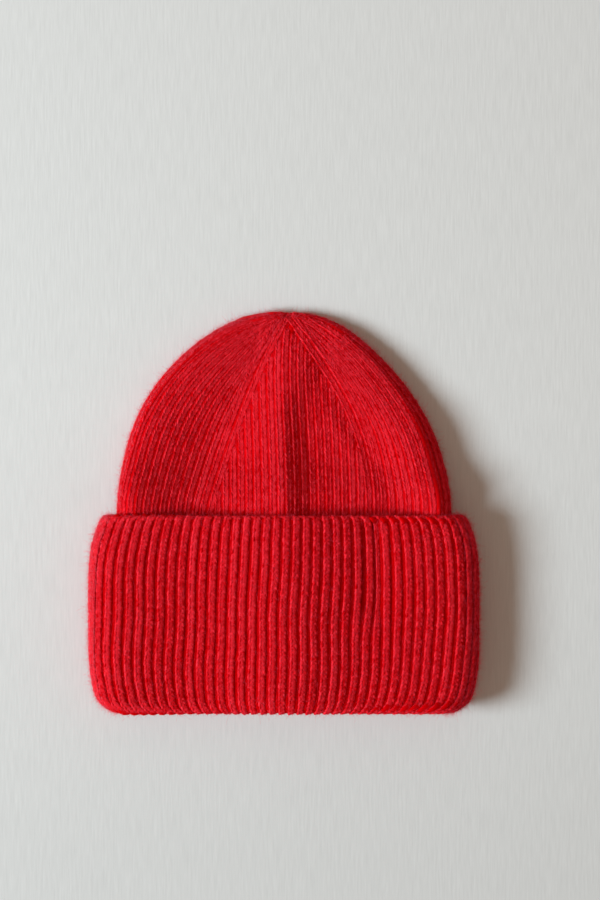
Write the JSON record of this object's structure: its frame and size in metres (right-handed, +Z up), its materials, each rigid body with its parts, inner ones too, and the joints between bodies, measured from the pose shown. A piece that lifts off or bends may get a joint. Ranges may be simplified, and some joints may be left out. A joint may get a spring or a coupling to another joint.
{
  "type": "knit beanie",
  "caption": "Rib-knit beanie with a deep turned-up cuff and a narrowed crown gathered at the tip, lying flat.",
  "frame": {"origin": "on the surface that the hat lies on, under the middle of the flat hat", "axes": "+X across the hat, +Y from the brim towards the crown's tip, +Z up through the flat hat's thickness"},
  "size_m": [0.2152, 0.222, 0.03],
  "materials": {
    "crown_knit": "brushed wool one-by-one rib, fine gauge, matte with a soft halo of fibres",
    "cuff_knit": "brushed wool one-by-one rib, double thickness, matte with a soft halo of fibres",
    "seam_yarn": "matte wool yarn, same shade as the knitting",
    "label_satin": "plain off-white woven satin ribbon, blank",
    "label_thread": "fine off-white sewing thread"
  },
  "bodies": {
    "hat": {"front_panel": "crown_knit", "back_panel": "crown_knit", "right_side_panel": "crown_knit", "left_side_panel": "crown_knit", "front_right_narrowing": "crown_knit", "front_left_narrowing": "crown_knit", "back_right_narrowing": "crown_knit", "back_left_narrowing": "crown_knit", "body_seam": "seam_yarn", "crown_gather_yarn": "seam_yarn", "gather_knot": "seam_yarn"},
    "cuff": {"cuff_band": "cuff_knit", "brim_fold": "cuff_knit", "cast_on_edge": "cuff_knit", "cuff_seam": "seam_yarn"},
    "label": {"care_label": "label_satin", "label_stitches": "label_thread"}
  },
  "joints": [
    {"name": "cuff_turn_down", "type": "slide", "parent": "hat", "child": "cuff", "axis": [0, -1, 0], "range_m": [0, 0.095]},
    {"name": "label_flap", "type": "hinge", "parent": "hat", "child": "label", "pos_m": [0, -0.06, 0.0094], "axis": [-1, 0, 0], "range_deg": [0, 14]}
  ]
}
